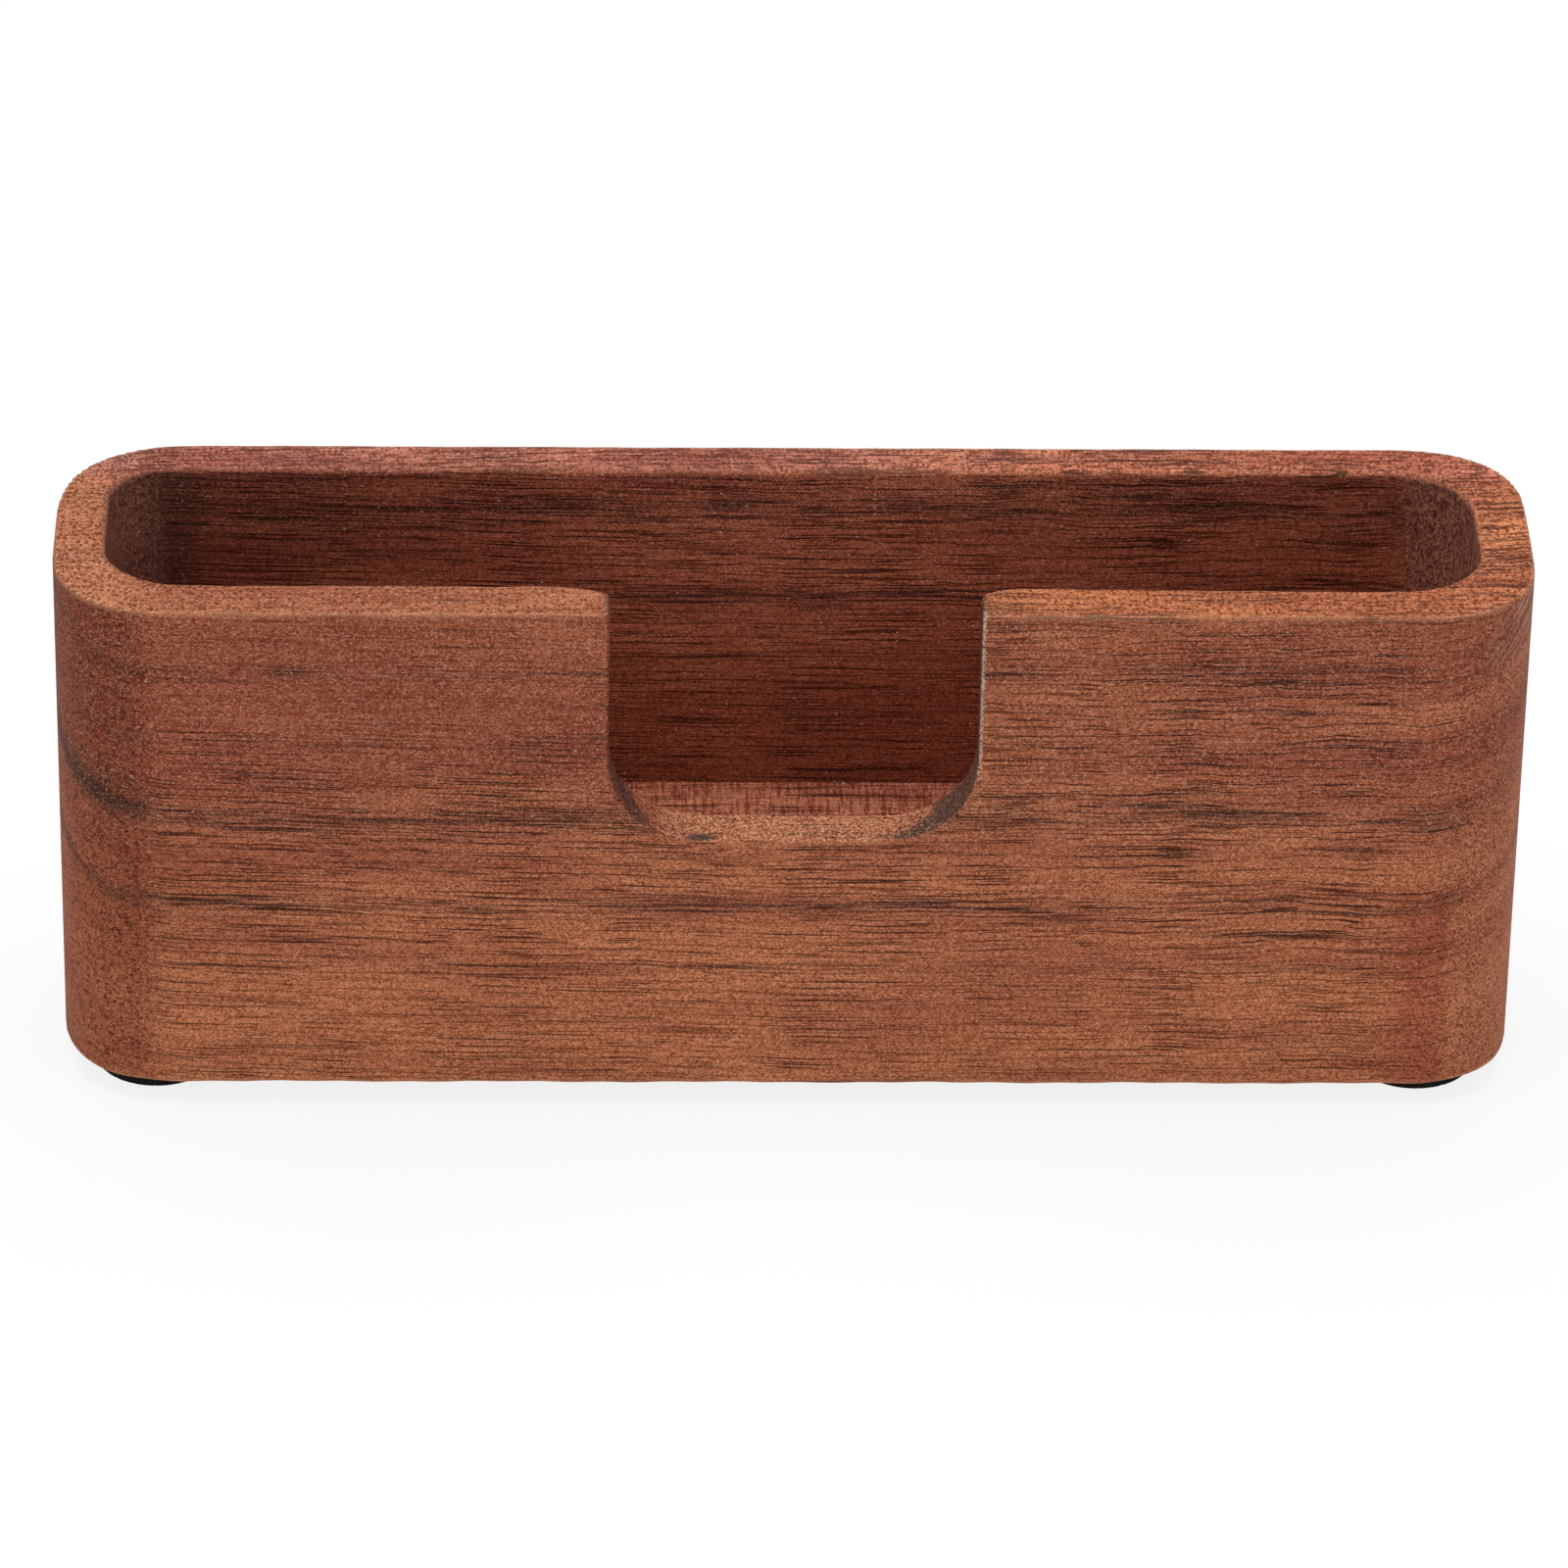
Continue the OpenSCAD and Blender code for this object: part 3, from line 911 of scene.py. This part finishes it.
def make_pad(node, material):
    """A foam pad whose skin is pitted with the open cells of the cut."""
    low, high = (np.array(corner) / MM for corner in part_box(node))
    centre = (low + high) / 2
    radius = (high[0] - low[0]) / 2
    profile = pad_profile(radius, high[2] - low[2])
    vertices, faces = [], []
    for reach, level in profile:
        for step in range(PAD_SEGMENTS):
            turn = 2 * math.pi * step / PAD_SEGMENTS
            point = Vector((centre[0] + reach * math.cos(turn), centre[1] + reach * math.sin(turn), level))
            distances, _ = noise.voronoi(point / PAD_CELL)
            pit = PAD_PIT * max(0.0, 1 - PAD_PIT_NARROW * distances[0])
            inward = Vector((centre[0], centre[1], (low[2] + high[2]) / 2)) - point
            point += inward.normalized() * pit
            vertices.append(point * MM)
    for ring in range(len(profile) - 1):
        for step in range(PAD_SEGMENTS):
            after = (step + 1) % PAD_SEGMENTS
            first, second = ring * PAD_SEGMENTS, (ring + 1) * PAD_SEGMENTS
            faces.append((first + step, second + step, second + after, first + after))
    last = (len(profile) - 1) * PAD_SEGMENTS
    for first, level, turn in ((0, high[2], 1), (last, low[2], -1)):
        middle = len(vertices)
        vertices.append(Vector((centre[0], centre[1], level)) * MM)
        for step in range(PAD_SEGMENTS):
            after = (step + turn) % PAD_SEGMENTS
            faces.append((first + step, first + after, middle))
    mesh = bpy.data.meshes.new("foam_" + node)
    mesh.from_pydata(vertices, [], faces)
    mesh.polygons.foreach_set("use_smooth", [True] * len(faces))
    mesh.materials.append(material)
    pad = bpy.data.objects.new("foam_" + node, mesh)
    bpy.context.scene.collection.objects.link(pad)
    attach(pad, "root")
    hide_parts(node)


# Stage

FLOOR_SIZE = 3000.0
FLOOR_ALBEDO = 0.96
# Share of the floor's shading that stays visible, so that the shadow is soft on white
SHADOW_SHARE = 0.15
# Strength of the sky, and the size, place and power of the lamp
SKY_LIGHT = 0.36
KEY_SIZE = 800.0
KEY_PLACE = (-60.0, 90.0, 700.0)
KEY_WATTS = 5.2
WHITE = (1.0, 1.0, 1.0, 1.0)
# Nearest and furthest that the camera sees, in metres
CLIP_NEAR = 0.01
CLIP_FAR = 10.0


def make_floor():
    """A pale floor that shows white with a soft shadow, and lights the part as plain paper does."""
    half = FLOOR_SIZE / 2 * MM
    mesh = bpy.data.meshes.new("floor")
    corners = [(-half, -half, 0), (half, -half, 0), (half, half, 0), (-half, half, 0)]
    mesh.from_pydata(corners, [], [(0, 1, 2, 3)])
    paper = Shader("floor_paper")
    plain = paper.add("BsdfDiffuse", (FLOOR_ALBEDO,) * 3 + (1.0,)).outputs[0]
    white = paper.add("Emission", WHITE, 1.0).outputs[0]
    seen = paper.add("MixShader", SHADOW_SHARE, white, plain).outputs[0]
    path = paper.add("LightPath").outputs
    straight = paper.math("MAXIMUM", path["Is Camera Ray"], path["Is Glossy Ray"])
    straight = paper.math("MAXIMUM", straight, path["Is Transmission Ray"])
    shown = paper.add("MixShader", straight, plain, seen).outputs[0]
    paper.fill(paper.tree.nodes["Material Output"].inputs["Surface"], shown)
    mesh.materials.append(paper.material)
    floor = bpy.data.objects.new("floor", mesh)
    bpy.context.scene.collection.objects.link(floor)


def make_lights():
    """An even white sky and one large lamp above."""
    world = bpy.data.worlds.new("studio")
    world.use_nodes = True
    sky = world.node_tree.nodes["Background"]
    sky.inputs["Color"].default_value = WHITE
    sky.inputs["Strength"].default_value = SKY_LIGHT
    bpy.context.scene.world = world
    lamp = bpy.data.lights.new("key", "AREA")
    lamp.size = KEY_SIZE * MM
    lamp.energy = KEY_WATTS
    key = bpy.data.objects.new("key", lamp)
    key.location = Vector(KEY_PLACE) * MM
    bpy.context.scene.collection.objects.link(key)


def make_camera():
    """The fitted camera, turned by its yaw, pitch and roll."""
    lens = bpy.data.cameras.new("camera")
    lens.sensor_width = SENSOR
    lens.lens = SENSOR * FOCAL_PX / IMAGE_PX
    lens.clip_start = CLIP_NEAR
    lens.clip_end = CLIP_FAR
    camera = bpy.data.objects.new("camera", lens)
    turn = Matrix.Rotation(math.radians(-YAW), 4, "Z")
    turn = turn @ Matrix.Rotation(math.radians(90 - PITCH), 4, "X")
    turn = turn @ Matrix.Rotation(math.radians(ROLL), 4, "Z")
    camera.matrix_world = Matrix.Translation(Vector(EYE) * MM) @ turn
    bpy.context.scene.collection.objects.link(camera)
    bpy.context.scene.camera = camera


bpy.context.scene.view_settings.view_transform = "Standard"
make_camera()
make_lights()
make_floor()
make_block(Hardwood().material)
foam = foam_material()
film = film_material()
for name, cad_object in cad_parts.items():
    if name.startswith("pad_"):
        make_pad(name, foam)
    elif name.startswith("adhesive_"):
        cad_object.data.materials.clear()
        cad_object.data.materials.append(film)
